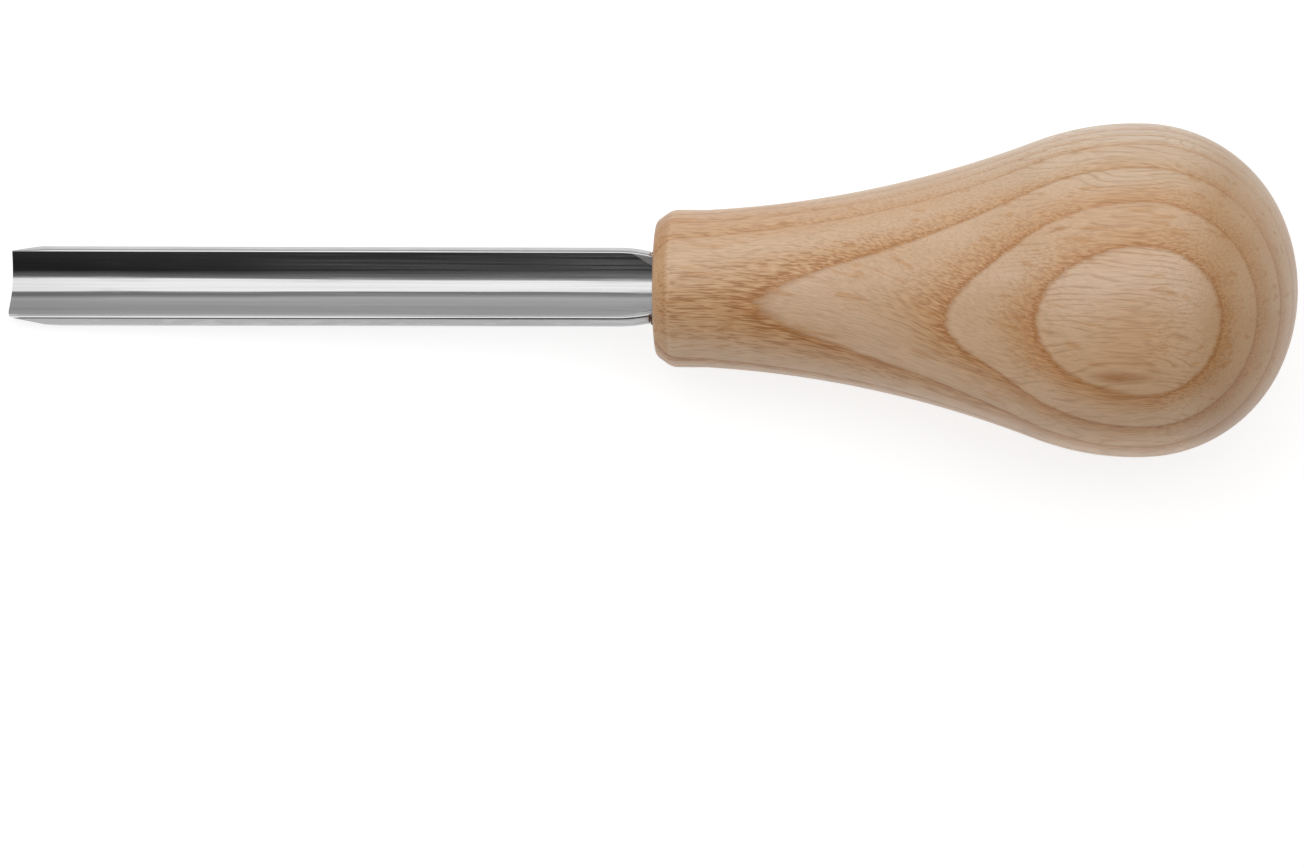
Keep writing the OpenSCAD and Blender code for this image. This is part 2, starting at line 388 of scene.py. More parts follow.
def held(share):
    """A share held between 0 and 1."""
    return min(1, max(0, share))


def soft_step(share):
    """0 below 0 and 1 above 1, with a smooth rise between."""
    share = held(share)
    return share**2 * (3 - 2 * share)


def steps_to(start, end, count, crowding=1.0):
    """Numbers from after a start up to an end, which crowding draws towards the start."""
    return [start + (end - start) * (step / count) ** crowding for step in range(1, count + 1)]


def blade_stations(sizes):
    """Distances from the cutting edge at which the blade's sections are drawn."""
    length = sizes.length / MM
    bevel = bevel_length(sizes)
    bar_end = length - sizes.heel_length / MM
    relief = length - sizes.relief_length / MM
    ground = [0.0, *steps_to(0.0, bevel, BEVEL_STEPS, BEVEL_CROWDING)]
    bar = steps_to(bevel, bar_end, BAR_STEPS)
    heel = steps_to(bar_end, relief, HEEL_STEPS)
    return ground + bar + heel + steps_to(relief, length, RELIEF_STEPS)


def bevel_length(sizes):
    """Length of the bevel along the underside of the blade."""
    return (sizes.web - sizes.edge_thickness) / math.tan(sizes.bevel_angle) / MM


def edge_lead(sizes, across):
    """How far the cutting edge leads at a place across the blade: its low corner is swept forward."""
    place = across / (sizes.flute_width / 2 / MM)
    sweep = sizes.edge_sweep / MM * soft_step((SWEEP_START - place) / SWEEP_RUN)
    worn = max(0, -place - CORNER_WORN) / (1 - CORNER_WORN)
    return sweep - sizes.edge_wear / MM * worn**2


def hand_ripple(along, across):
    """Slight unevenness that hand polishing leaves, in millimetres."""
    ripple = 0.0
    for height, run, aside, start in RIPPLES:
        ripple += height * math.sin(run * along + aside * across + start)
    return ripple


def blade_rings(sizes):
    """Closed sections of the blade as lists of points in the tool's frame."""
    length = sizes.length / MM
    bevel = bevel_length(sizes)
    heel_length, heel_inset = sizes.heel_length / MM, sizes.heel_inset / MM
    edge_radius = (sizes.flute_radius + sizes.edge_thickness) / MM
    rim = sizes.flute_width / 2 / MM
    land = sizes.rim_land / MM
    relief = sizes.relief_depth / (sizes.rim_land + sizes.shoulder_width)
    bend_start = BEND_START * rim
    rings = []
    for station in blade_stations(sizes):
        along = station - length
        inset = bow(heel_length, heel_inset, along + heel_length)
        wear = soft_step((along - WORN_STRETCH[0]) / (WORN_STRETCH[1] - WORN_STRETCH[0]))
        worn = WORN_RIM[0] + (WORN_RIM[1] - WORN_RIM[0]) * wear
        # The rim on the upper side is ground narrow over the bevel
        reach = edge_radius + station * math.tan(sizes.bevel_angle)
        ground = land * (GROUND_LAND + (1 - GROUND_LAND) * soft_step(station / bevel))
        upper = blade_half_section(sizes, reach, ground, worn)
        low = blade_half_section(sizes, reach, land, worn)
        # The sides are relieved at the very end, outside the rims
        relieved = relief * soft_step((1 + along * MM / sizes.relief_length) / RELIEF_RAMP)
        # The blade tapers a little towards the handle and lies askew in it
        shift = sizes.heel_shift / MM * station / length
        narrow = 1 - sizes.heel_taper / MM / rim * station / length
        # The sweep of the edge fades out behind the bevel, and the ripple fades in
        fade = held((SWEEP_END - station / bevel) / (SWEEP_END - 1))
        calm = min(1, station / bevel, -along / heel_length)
        ring = []
        mirrored = [Vector((-point.x, point.y)) for point in low[-2:0:-1]]
        for point in upper + mirrored:
            # The walls bend in towards the handle and take the rims with them
            bend = inset * soft_step((abs(point.x) - bend_start) / (rim - bend_start))
            beyond = max(0, abs(point.x) - rim)
            cut = relieved if point.x < 0 else UPPER_RELIEF * relieved
            across = abs(point.x) * narrow - bend - beyond * cut
            across = math.copysign(across, point.x) + shift
            lift = hand_ripple(along, point.x) * calm - bend * sizes.heel_drop / sizes.heel_inset
            ring.append(Vector((along - edge_lead(sizes, point.x) * fade, across, point.y + lift)))
        rings.append(ring)
    return rings


# Meshes

# Points closer than the first gap become one, and edges shorter than the second are taken out
MERGE_GAP, LEAST_EDGE = 0.0005, 0.0002
# Edges that turn by more than this, in degrees, are drawn sharp
HANDLE_CREASE, BLADE_CREASE, GLUE_CREASE = 35, 15, 60


def mesh_piece(name, mesh):
    """A new object at the origin with a mesh that already holds its place."""
    piece = bpy.data.objects.new(name, mesh)
    bpy.context.scene.collection.objects.link(piece)
    return piece


def lofted(name, rings):
    """A closed mesh through rings of points, capped at both ends."""
    mesh = bpy.data.meshes.new(name)
    shape = bmesh.new()
    rows = [[shape.verts.new(point) for point in ring] for ring in rings]
    count = len(rows[0])
    for row, following in zip(rows, rows[1:]):
        for index in range(count):
            after = (index + 1) % count
            shape.faces.new((row[index], row[after], following[after], following[index]))
    shape.faces.new(list(reversed(rows[0])))
    shape.faces.new(rows[-1])
    bmesh.ops.remove_doubles(shape, verts=shape.verts, dist=MERGE_GAP)
    bmesh.ops.recalc_face_normals(shape, faces=shape.faces)
    shape.to_mesh(mesh)
    shape.free()
    return mesh


def outline_mesh(name, points):
    """A chain of edges through points, for a node tree to work on."""
    mesh = bpy.data.meshes.new(name)
    mesh.from_pydata(points, [(index, index + 1) for index in range(len(points) - 1)], [])
    return mesh


def finish_mesh(mesh, crease):
    """Merges doubles, turns faces outwards, places the mesh on the bench and sharpens its creases."""
    shape = bmesh.new()
    shape.from_mesh(mesh)
    bmesh.ops.remove_doubles(shape, verts=shape.verts, dist=MERGE_GAP)
    bmesh.ops.dissolve_degenerate(shape, edges=shape.edges, dist=LEAST_EDGE)
    bmesh.ops.recalc_face_normals(shape, faces=shape.faces)
    for face in shape.faces:
        face.smooth = True
    shape.to_mesh(mesh)
    shape.free()
    mesh.transform(TOOL_MM)
    mesh.set_sharp_from_angle(angle=math.radians(crease))
    mesh.update()


def settle(piece):
    """Leaves the result of a piece's modifiers in it as a plain mesh."""
    bpy.context.view_layer.update()
    seen = piece.evaluated_get(bpy.context.evaluated_depsgraph_get())
    mesh = bpy.data.meshes.new_from_object(seen)
    mesh.name = piece.name
    piece.modifiers.clear()
    piece.data = mesh
    if not mesh.polygons:
        raise RuntimeError(f"{piece.name} has no faces")


def run_tree(piece, tree, values):
    """Runs a node tree on a piece and leaves the result in it as a plain mesh."""
    modifier = piece.modifiers.new(tree.name, "NODES")
    modifier.node_group = tree
    for socket in tree.interface.items_tree:
        if socket.in_out == "INPUT" and socket.name in values:
            modifier[socket.identifier] = values[socket.name]
    settle(piece)


# Node trees

# How much further each noise is moved across the tool than along it
SHIFT_ACROSS = 1.7


class Nodes:
    """Adds nodes to a tree and joins them up."""

    def __init__(self, tree):
        self.tree = tree

    def add(self, kind, feeds=None, **settings):
        """A new node with its settings, its inputs fed by sockets or set to plain values."""
        node = self.tree.nodes.new(kind)
        for name, value in settings.items():
            setattr(node, name, value)
        for name, value in (feeds or {}).items():
            self.feed(node.inputs[name], value)
        return node

    def feed(self, socket, value):
        """Joins a socket to another one, or sets its value."""
        if isinstance(value, bpy.types.NodeSocket):
            self.tree.links.new(value, socket)
        elif socket.type == "RGBA":
            socket.default_value = full_colour(value)
        else:
            socket.default_value = value

    def maths(self, operation, *values, clamp=False):
        """One step of arithmetic on numbers."""
        feeds = dict(enumerate(values))
        return self.add("ShaderNodeMath", feeds, operation=operation, use_clamp=clamp).outputs[0]

    def times(self, product, *factors):
        """The product of numbers."""
        for factor in factors:
            product = self.maths("MULTIPLY", product, factor)
        return product

    def swayed(self, value, noise, reach):
        """A number that noise moves to both sides, by up to half a reach."""
        return self.maths("MULTIPLY_ADD", self.maths("SUBTRACT", noise, 0.5), reach, value)

    def vector(self, operation, *values):
        """The outputs of one step of arithmetic on vectors."""
        return self.add("ShaderNodeVectorMath", dict(enumerate(values)), operation=operation).outputs

    def parts(self, vector):
        """The X, Y and Z of a vector."""
        return self.add("ShaderNodeSeparateXYZ", {0: vector}).outputs

    def spread(self, value, low, high, start=0.0, end=1.0, smooth=True):
        """A number moved from one range to another, and held inside it."""
        kind = "SMOOTHSTEP" if smooth else "LINEAR"
        feeds = {"Value": value, "From Min": low, "From Max": high, "To Min": start, "To Max": end}
        return self.add("ShaderNodeMapRange", feeds, interpolation_type=kind).outputs["Result"]

    def blend(self, share, first, second, kind="MIX"):
        """A mix of two colours."""
        node = self.add("ShaderNodeMix", data_type="RGBA", blend_type=kind, clamp_factor=True)
        colours = [socket for socket in node.inputs if socket.type == "RGBA"]
        self.feed(node.inputs[0], share)
        self.feed(colours[0], first)
        self.feed(colours[1], second)
        return next(socket for socket in node.outputs if socket.type == "RGBA")

    def streaks(self, spot, along, across, shift, detail=2.0, roughness=0.5):
        """Noise drawn out along the tool: cells per millimetre along it and across it."""
        stretch, offset = (along, across, across), (shift, shift * SHIFT_ACROSS, -shift)
        place = self.vector("MULTIPLY_ADD", spot, stretch, offset)[0]
        feeds = {"Vector": place, "Scale": 1.0, "Detail": detail, "Roughness": roughness}
        return self.add("ShaderNodeTexNoise", feeds).outputs[0]

    def roughen(self, shader, height, strength, depth):
        """Bumps on a shader from a height, with their depth in millimetres."""
        feeds = {"Strength": strength, "Distance": depth * MM, "Height": height}
        self.feed(shader.inputs["Normal"], self.add("ShaderNodeBump", feeds).outputs[0])


def full_colour(colour):
    """A colour with its alpha."""
    return (*colour, 1.0)


def new_finish(name):
    """A new material with its node helper, its shader and the spot on the tool in millimetres."""
    finish = bpy.data.materials.new(name)
    finish.use_nodes = True
    nodes = Nodes(finish.node_tree)
    shader = next(node for node in finish.node_tree.nodes if node.type == "BSDF_PRINCIPLED")
    feeds = {
        "Vector": nodes.add("ShaderNodeTexCoord").outputs["Object"],
        "Location": TOOL.translation,
        "Rotation": TOOL.to_euler(),
        "Scale": (MM, MM, MM),
    }
    spot = nodes.add("ShaderNodeMapping", feeds, vector_type="TEXTURE").outputs[0]
    return finish, nodes, shader, spot


# Wood

# Depths along the tool's Z, in millimetres, at which a growth ring starts
RING_DEPTHS = (
    27.2, 23.5, 19.97, 16.65, 12.48, 8.02, 5.6, 3.4, -0.8, -5.2, -9.4, -13.9, -18.2, -22.4, -27,
)
# The rings are sheets that tip, bow and turn along the tool from this place on the handle
RING_MIDDLE = 58
RING_TIP = 0.04818
RING_BOW = 0.004177
RING_TURN = 0.00005247
# Across the tool they lean and curve
RING_LEAN = -0.3434
RING_CURVE = 0.00246
# They swell about one place
SWELL_PLACE = (38.5, -7.5, 13.5)
SWELL_REACH = 8
SWELL_HEIGHT = 0.4
# How far they sway, and how far ragged edges and pores fray them
RING_SWAY = 0.25
RING_FRAY = 0.25
PORE_FRAY = 0.6
# Shares of a ring: the early wood fades by its end, and a line fills the start of a ring and the end
EARLY_END = 0.62
EARLY_FALL = 1.2
LINE_START = (0.0, 0.1)
LINE_END = (0.94, 1.0)
# The fibres run askew, most of all over the hollow of the handle, and wave
FIBRE_DRIFT = 9.0
FIBRE_SLOPE = 0.04
FIBRE_WAVE = 1.4
# Noise: cells per millimetre along and across, shift, detail and roughness
FIBRES = (0.35, 6.5, 1.3, 2.0, 0.6)
PORE_DASHES = (0.34, 4.4, 5.9, 1.5, 0.55)
WARM_PATCHES = (0.13, 0.9, 15.2, 1.0)
WARM_CLOUDS = (0.03, 0.12, 9.4, 2.0)
RAGGED_RINGS = (0.3, 1.3, 7.7, 2.0)
SWAYING_RINGS = (0.05, 0.09, 3.1, 1.0)
WAVING_FIBRES = (0.1, 0.22, 12.3, 1.0)
THREAD_WANDER = (0.07, 0.2, 21.7, 1.0)
THREAD_BREAKS = (0.13, 0.7, 33.1, 1.0)
# Stretches along the handle, in millimetres from its front face, over which the wood changes
FRONT = (3.0, 12.0)
OILED_FRONT = (4.0, 12.0)
HOLLOW = (12.0, 32.0)
ASKEW = (16.0, 56.0)
BULB_RINGS = (34.0, 48.0)
BULB_THREADS = (38.0, 50.0)
BULB_PORES = (40.0, 50.0)
# Stretches across it in which rings fade, and depths at which the outer rings start
UPPER_HALF = (-1.0, 5.0)
UPPER_SIDE = (0.0, 9.0)
OUTER_RINGS = (8.3, 10.5)
# Threads: how far they wander, how many lie side by side in a millimetre, and half the width of one as a
# share of its row
WANDER_REACH = 5.0
THREADS_PER_MM = 1.35
THREAD_WIDTH = 0.24
# A stain low on the bulb, as its place and its reach along, across and up
STAIN_PLACE = (59, -13.4, 15.8)
STAIN_REACH = (5.5, 1.3, 1.3)
# What the oil leaves of each colour where it soaks into end grain
END_OIL = (0.83, 0.755, 0.64)
FRONT_OIL = (0.83, 0.71, 0.55)
# Painted light across the handle, as stretches across it and their tints: painted warm shade on the low
# side, a painted rim highlight that pales the low edge, and painted sheen that bleaches the upper side
PAINTED_LIGHT_TINTS = (
    ((-2.0, -13.0), (1.02, 0.95, 0.85)),
    ((-18.2, -20.2), (1.16, 1.18, 1.16)),
    ((8.5, 12.5), (1.0, 1.08, 1.15)),
)
# Shine, roughness from dark to pale fibres, and bumps as strength and depth in millimetres
WOOD_SHINE = 0.3
WOOD_ROUGHNESS = (0.38, 0.3)
WOOD_BUMPS = (0.12, 0.05)


def ring_depth(nodes, spot):
    """Depth of a spot across the growth rings, in millimetres."""
    parts = nodes.parts(spot)
    from_middle = nodes.maths("SUBTRACT", parts["X"], RING_MIDDLE)
    slope = nodes.maths("MULTIPLY_ADD", from_middle, RING_TURN, RING_BOW)
    slope = nodes.maths("MULTIPLY_ADD", from_middle, slope, RING_TIP)
    lean = nodes.maths("MULTIPLY_ADD", parts["Y"], RING_CURVE, RING_LEAN)
    depth = nodes.maths("MULTIPLY_ADD", from_middle, slope, parts["Z"])
    depth = nodes.maths("MULTIPLY_ADD", parts["Y"], lean, depth)
    away = nodes.vector("DISTANCE", spot, SWELL_PLACE)["Value"]
    depth = nodes.maths("ADD", depth, nodes.spread(away, 0, SWELL_REACH, SWELL_HEIGHT, 0))
    return nodes.swayed(depth, nodes.streaks(spot, *SWAYING_RINGS), RING_SWAY)


def ring_age(nodes, depth):
    """How far a depth is through its growth ring, 0 at the ring line and 1 just before the next."""
    first, last = RING_DEPTHS[0], RING_DEPTHS[-1]
    count = len(RING_DEPTHS) - 1
    share = nodes.spread(depth, first, last, smooth=False)
    counter = nodes.add("ShaderNodeFloatCurve", {"Value": share})
    curve = counter.mapping.curves[0]
    for index, level in enumerate(RING_DEPTHS):
        place = ((first - level) / (first - last), index / count)
        if index in (0, count):
            point = curve.points[0 if index == 0 else -1]
            point.location = place
        else:
            point = curve.points.new(*place)
        point.handle_type = "VECTOR"
    counter.mapping.update()
    return nodes.maths("FRACT", nodes.times(counter.outputs[0], float(count)))


def fibre_spot(nodes, spot):
    """The spot with the fibres laid straight."""
    parts = nodes.parts(spot)
    drift = nodes.spread(parts["X"], *ASKEW, 0.0, FIBRE_DRIFT)
    drift = nodes.maths("MULTIPLY_ADD", parts["X"], FIBRE_SLOPE, drift)
    wave = nodes.streaks(spot, *WAVING_FIBRES)
    drift = nodes.maths("MULTIPLY_ADD", wave, FIBRE_WAVE, drift)
    across = nodes.maths("ADD", parts["Y"], drift)
    feeds = {"X": parts["X"], "Y": across, "Z": parts["Z"]}
    return nodes.add("ShaderNodeCombineXYZ", feeds).outputs[0]


def end_grain(nodes):
    """How squarely the surface cuts the fibres: 0 along them and 1 straight across."""
    facing = nodes.add("ShaderNodeTexCoord").outputs["Normal"]
    along = TOOL.to_3x3() @ Vector((1, 0, 0))
    return nodes.maths("ABSOLUTE", nodes.vector("DOT_PRODUCT", facing, along)["Value"])


def growth_rings(nodes, spot, dashes, cut):
    """Shares of early wood, of ring line and of the outer rings' warm upper side at a spot."""
    parts = nodes.parts(spot)
    depth = ring_depth(nodes, spot)
    frayed = nodes.swayed(depth, nodes.streaks(spot, *RAGGED_RINGS), RING_FRAY)
    age = ring_age(nodes, nodes.swayed(frayed, dashes, PORE_FRAY))
    # End grain behind the front shows the rings less, and so do the upper side and, before the bulb,
    # its outer rings
    hidden = nodes.times(nodes.spread(cut, 0.35, 0.75, 0.0, 0.4), nodes.spread(parts["X"], *FRONT))
    outer = nodes.times(
        nodes.spread(depth, *OUTER_RINGS, 0.25, 0.0),
        nodes.spread(parts["Y"], *UPPER_HALF),
        nodes.spread(parts["X"], *BULB_RINGS, 1.0, 0.1),
    )
    faint = nodes.maths("ADD", outer, nodes.spread(parts["Y"], *UPPER_SIDE, 0.0, 0.35))
    shown = nodes.maths("SUBTRACT", 1.0, nodes.maths("ADD", hidden, faint), clamp=True)
    fading = nodes.spread(age, 0.0, EARLY_END, 1.0, 0.0, smooth=False)
    fading = nodes.maths("POWER", fading, EARLY_FALL)
    starting = nodes.spread(age, *LINE_START, 1.0, 0.0)
    ending = nodes.spread(age, *LINE_END, 0.0, 0.85)
    dashed = nodes.spread(dashes, 0.3, 0.6, 0.3, 0.65)
    line = nodes.times(nodes.maths("MAXIMUM", starting, ending), dashed, shown)
    return nodes.times(fading, shown), line, outer


def broken_threads(nodes, spot, cut, early):
    """Thin broken threads that lie along the bulb where the late wood is cut flat."""
    parts = nodes.parts(spot)
    wander = nodes.streaks(spot, *THREAD_WANDER)
    rows = nodes.times(nodes.maths("MULTIPLY_ADD", wander, WANDER_REACH, parts["Y"]), THREADS_PER_MM)
    off_thread = nodes.maths("ABSOLUTE", nodes.maths("SUBTRACT", nodes.maths("FRACT", rows), 0.5))
    return nodes.times(
        nodes.spread(off_thread, 0.0, THREAD_WIDTH, 1.0, 0.0),
        nodes.spread(nodes.streaks(spot, *THREAD_BREAKS), 0.36, 0.58),
        nodes.spread(cut, 0.3, 0.55, 1.0, 0.0),
        nodes.spread(parts["X"], *BULB_THREADS),
        nodes.spread(early, 0.0, 0.5, 0.4, 0.1),
    )


def brown_stain(nodes, spot, fibres):
    """A small streaky stain low on the bulb."""
    away = nodes.vector("SUBTRACT", spot, STAIN_PLACE)[0]
    away = nodes.vector("LENGTH", nodes.vector("DIVIDE", away, STAIN_REACH)[0])["Value"]
    return nodes.times(nodes.spread(away, 0.2, 1.0, 1.0, 0.0), nodes.spread(fibres, 0.35, 0.6, 0.3, 0.8))


def ash_wood(sizes):
    """Ash: pale late wood, orange early wood full of open pores, and a brown line at each ring."""
    finish, nodes, shader, spot = new_finish("ash_wood")
    parts = nodes.parts(spot)
    along, across = parts["X"], parts["Y"]
    laid = fibre_spot(nodes, spot)
    fibres = nodes.streaks(laid, *FIBRES)
    dashes = nodes.streaks(laid, *PORE_DASHES)
    cut = end_grain(nodes)
    early, line, outer = growth_rings(nodes, spot, dashes, cut)

    # Late wood is warmer in clouds, in patches and in the outer rings
    clouds = nodes.spread(nodes.streaks(spot, *WARM_CLOUDS), 0.35, 0.7, 0.0, 0.3)
    warmth = nodes.maths("MULTIPLY_ADD", outer, 0.8, clouds)
    wood = nodes.blend(warmth, sizes.late_colour, sizes.early_colour)
    patches = nodes.spread(nodes.streaks(laid, *WARM_PATCHES), 0.6, 0.72, 0.0, 0.5)
    for share in (patches, nodes.times(early, 0.95)):
        wood = nodes.blend(share, wood, sizes.early_colour)

    # Open pores show as dark dashes, with pale fibre between them, and less towards the bulb
    opened = nodes.times(
        nodes.maths("MULTIPLY_ADD", early, 0.68, 0.21),
        nodes.spread(along, *HOLLOW, 1.0, 0.72),
        nodes.spread(along, *BULB_PORES, 1.0, 0.75),
    )
    pores = nodes.times(nodes.spread(dashes, 0.5, 0.62), opened)
    flecks = nodes.times(nodes.spread(dashes, 0.47, 0.35), opened, 0.6)
    marks = (
        (pores, sizes.pore_colour),
        (flecks, sizes.fleck_colour),
        (line, sizes.line_colour),
        (broken_threads(nodes, spot, cut, early), sizes.pore_colour),
        (brown_stain(nodes, spot, fibres), sizes.line_colour),
    )
    for share, colour in marks:
        wood = nodes.blend(share, wood, colour)

    # End grain drinks more of the oil, and fine fibres lighten and darken the wood
    oil = nodes.blend(nodes.spread(along, *OILED_FRONT), FRONT_OIL, END_OIL)
    wood = nodes.blend(nodes.spread(cut, 0.25, 0.6), wood, oil, "MULTIPLY")
    # Painted light: warmer painted shade low down, a pale painted highlight along the low edge and painted
    # sheen on the upper side
    for stretch, painted_tint in PAINTED_LIGHT_TINTS:
        wood = nodes.blend(nodes.spread(across, *stretch), wood, painted_tint, "MULTIPLY")
    shade = nodes.spread(fibres, 0.3, 0.7, 0.9, 1.05)
    shading = nodes.add("ShaderNodeCombineColor", {0: shade, 1: shade, 2: shade}).outputs[0]
    wood = nodes.blend(1.0, wood, shading, "MULTIPLY")

    nodes.feed(shader.inputs["Base Color"], wood)
    nodes.feed(shader.inputs["Roughness"], nodes.spread(fibres, 0.3, 0.7, *WOOD_ROUGHNESS))
    shader.inputs["Specular IOR Level"].default_value = WOOD_SHINE
    nodes.roughen(shader, nodes.maths("MULTIPLY_ADD", pores, -0.8, fibres), *WOOD_BUMPS)
    return finish


# Steel and glue

# Noise: cells per millimetre along and across, shift, detail and roughness
GRINDING_LINES = (0.02, 7.0, 2.2, 3.0, 0.65)
POLISH_LINES = (0.03, 3.0, 11.4, 2.0, 0.6)
STEEL_HAZE = (0.05, 0.3, 4.8, 3.0, 0.6)
STEEL_BLOTCHES = (0.4, 1.5, 8.6, 3.0, 0.6)
GLUE_LUMPS = (1.1, 1.1, 6.3, 3.0, 0.6)
# Stretches along the blade, in millimetres from the handle: darkened by painted shade at the cutting end,
# and filmed in two steps
SHADED_CUTTING_END = (-80.0, -64.0)
FILM_START = (-56.0, -38.0)
FILM_END = (-16.0, -4.0)
# What wear and painted shade leave of the steel's colour
WORN_AND_SHADED_STEEL = 0.7
# The corner of the flute that the polishing wheel misses: how it slants, and where it starts
MISSED_SLANT = 0.56
MISSED_START = (2.4, 2.65)
# How many times paler thin dusty glue is, and by how much it is lifted
DUST, DUST_LIFT = 2.2, 0.01
# Roughness from thick glue to thin, and bumps as strength and depth in millimetres
GLUE_ROUGHNESS = (0.22, 0.5)
GLUE_BUMPS = (0.4, 0.05)
STEEL_BUMPS = (0.25, 0.005)


def polished_steel(sizes):
    """Steel polished along the flute, with fine grinding lines, and left satin on the outer sides."""
    finish, nodes, shader, spot = new_finish("polished_steel")
    lines = nodes.streaks(spot, *GRINDING_LINES)
    polish = nodes.streaks(spot, *POLISH_LINES)
    haze = nodes.streaks(spot, *STEEL_HAZE)
    blotches = nodes.streaks(spot, *STEEL_BLOTCHES)
    parts = nodes.parts(spot)
    along, across = parts["X"], parts["Y"]
    facing = nodes.parts(nodes.add("ShaderNodeTexCoord").outputs["Normal"])
    outward = nodes.times(nodes.maths("SIGN", across), facing["Y"])
    satin = nodes.spread(outward, 0.3, 0.75)

    # Wear dulls the grinding lines, and the satin sides in blotches; painted shade darkens the cutting end,
    # and the low satin side more than the upper one
    worn = [channel * WORN_AND_SHADED_STEEL for channel in sizes.steel_colour]
    wear = nodes.spread(lines, 0.35, 0.7, 0.0, 0.35)
    # Painted shade: the cutting end is darker
    wear = nodes.maths("ADD", wear, nodes.spread(along, *SHADED_CUTTING_END, 0.28, 0.0))
    # Blotches of wear, with painted shade that darkens the low satin side more than the upper one
    blotches_and_low_shade = nodes.spread(across, -1.0, 1.0, 1.75, 0.55)
    blotches_and_low_shade = nodes.times(blotches_and_low_shade, nodes.spread(blotches, 0.35, 0.65, 0.3, 0.8))
    wear = nodes.maths("MULTIPLY_ADD", satin, blotches_and_low_shade, wear, clamp=True)
    nodes.feed(shader.inputs["Base Color"], nodes.blend(wear, sizes.steel_colour, worn))

    # The wheel misses the upper corner of the flute at the handle
    corner = nodes.maths("MULTIPLY_ADD", along, MISSED_SLANT, across)
    inside = nodes.spread(outward, -0.35, -0.2, 1.0, 0.0)
    missed = nodes.times(nodes.spread(corner, *MISSED_START), inside)
    rough = nodes.spread(polish, 0.38, 0.66, 0.04, 0.13)
    rough = nodes.maths("ADD", rough, nodes.spread(haze, 0.48, 0.68, 0.0, 0.1))
    rough = nodes.maths("MULTIPLY_ADD", missed, 0.7, rough)
    rough = nodes.maths("MULTIPLY_ADD", satin, 0.2, rough)
    nodes.feed(shader.inputs["Roughness"], rough)

    # A streaky film of dried oil dulls the half of the flute next to the handle
    film = nodes.spread(along, *FILM_START, 0.0, 0.04)
    film = nodes.maths("ADD", film, nodes.spread(along, *FILM_END, 0.0, 0.03))
    film = nodes.times(film, nodes.spread(polish, 0.4, 0.6, 0.1, 2.1))
    film = nodes.maths("MULTIPLY_ADD", missed, 0.12, film)
    nodes.feed(shader.inputs["Metallic"], nodes.maths("SUBTRACT", 1.0, film))
    nodes.roughen(shader, lines, *STEEL_BUMPS)
    return finish


def dried_glue(sizes):
    """Dark brown glue, glossy where it is thick and dusty where it is thin."""
    finish, nodes, shader, spot = new_finish("dried_glue")
    lumps = nodes.streaks(spot, *GLUE_LUMPS)
    dusty = [min(1, channel * DUST + DUST_LIFT) for channel in sizes.colour]
    colour = nodes.blend(nodes.spread(lumps, 0.4, 0.7), sizes.colour, dusty)
    nodes.feed(shader.inputs["Base Color"], colour)
    nodes.feed(shader.inputs["Roughness"], nodes.spread(lumps, 0.35, 0.65, *GLUE_ROUGHNESS))
    nodes.roughen(shader, lumps, *GLUE_BUMPS)
    return finish


# Geometry trees

# Radius of the tiny circle on which the handle's outline is turned, in millimetres. Points within this
# many radii of each other become one, which closes the outline's ends on the axis
POLE_GAP = 0.0005
POLE_MERGE = 2.5
# Shares of the bead's path over which it swells from its thin start and to its heavy end
BEAD_START = (0.0, 0.2)
BEAD_END = (0.74, 0.86)
# Steps round the bead, and how many lumps lie in a millimetre of it
BEAD_STEPS = 16
LUMPS_PER_MM = 0.9
# Thickness of the bead at both ends as shares of its radius, and its spacing and unevenness in millimetres
BEAD_SHAPE = {"Thin Start": 0.5, "Heavy End": 1.5, "Spacing": 0.15, "Unevenness": 0.35, "Seed": 4.0}
# The bead keeps to the outer sides, beyond this share of their width, and to the underside, below this
# height in millimetres
BEAD_SIDE = 0.85
BEAD_UNDER = -1


def new_tree(name, inputs):
    """A geometry node tree with its named inputs, its helper and its first geometry."""
    tree = bpy.data.node_groups.new(name, "GeometryNodeTree")
    tree.interface.new_socket("Geometry", in_out="INPUT", socket_type="NodeSocketGeometry")
    for label, kind in inputs.items():
        tree.interface.new_socket(label, in_out="INPUT", socket_type=f"NodeSocket{kind}")
    tree.interface.new_socket("Geometry", in_out="OUTPUT", socket_type="NodeSocketGeometry")
    nodes = Nodes(tree)
    return tree, nodes, nodes.add("NodeGroupInput").outputs


def close_tree(nodes, geometry, finish):
    """Ends a tree with plain geometry that carries its finish."""
    smooth = nodes.add("GeometryNodeSetShadeSmooth", {"Geometry": geometry})
    real = nodes.add("GeometryNodeRealizeInstances", {"Geometry": smooth.outputs[0]})
    coated = nodes.add("GeometryNodeSetMaterial", {"Geometry": real.outputs[0], "Material": finish})
    nodes.add("NodeGroupOutput", {"Geometry": coated.outputs[0]})


def lathe_tree():
    """Turns a half outline, drawn as (out, along), about the tool's axis."""
    inputs = {"Steps Around": "Int", "Pole Gap": "Float", "Finish": "Material"}
    tree, nodes, given = new_tree("Turned On The Lathe", inputs)
    outline = nodes.add("GeometryNodeMeshToCurve", {"Mesh": given["Geometry"]})
    feeds = {"Resolution": given["Steps Around"], "Radius": given["Pole Gap"]}
    circle = nodes.add("GeometryNodeCurvePrimitiveCircle", feeds)
    feeds = {"Curve": circle.outputs[0], "Profile Curve": outline.outputs[0]}
    turned = nodes.add("GeometryNodeCurveToMesh", feeds)
    feeds = {"Geometry": turned.outputs[0], "Distance": nodes.times(given["Pole Gap"], POLE_MERGE)}
    merged = nodes.add("GeometryNodeMergeByDistance", feeds)
    feeds = {"Geometry": merged.outputs[0], "Rotation": (0, -math.pi / 2, 0)}
    laid = nodes.add("GeometryNodeTransform", feeds)
    close_tree(nodes, laid.outputs[0], given["Finish"])
    return tree


